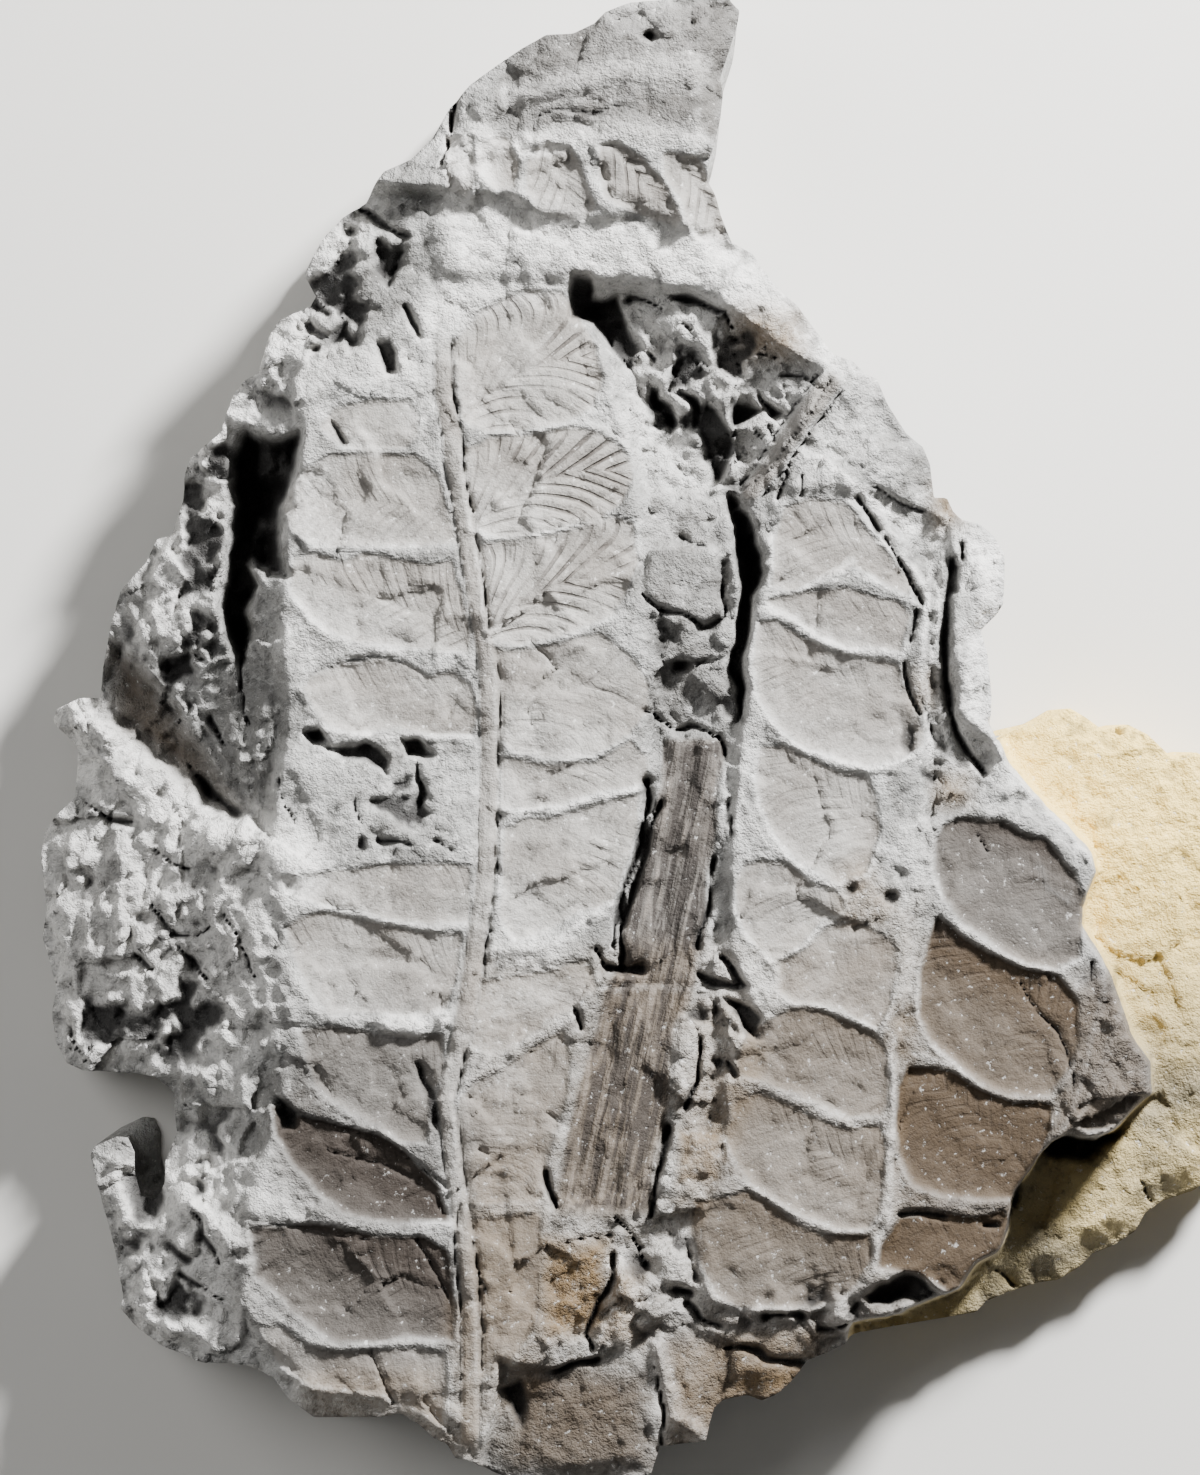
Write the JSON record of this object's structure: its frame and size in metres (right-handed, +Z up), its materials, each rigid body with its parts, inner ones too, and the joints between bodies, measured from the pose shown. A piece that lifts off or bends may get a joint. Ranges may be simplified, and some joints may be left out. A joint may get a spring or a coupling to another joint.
{
  "type": "fossil fern slab",
  "caption": "Broken slab of grey stone with the impression of a fern frond and stem on its upper face, lying flat as a display specimen.",
  "frame": {"origin": "middle of the flat underside, at the middle of the slab's bounding box in X and Y", "axes": "+Z up, out of the fossil face; +Y along the slab's length, towards the tip of the frond; +X to the right as seen from above"},
  "size_m": [0.0898, 0.1064, 0.0166],
  "materials": {
    "slab_stone": "rough broken grey siltstone with a browner, slightly smoother plant film and a pale ochre lower layer, no gloss"
  },
  "bodies": {
    "root": {"fossil_slab": "slab_stone"}
  },
  "joints": []
}
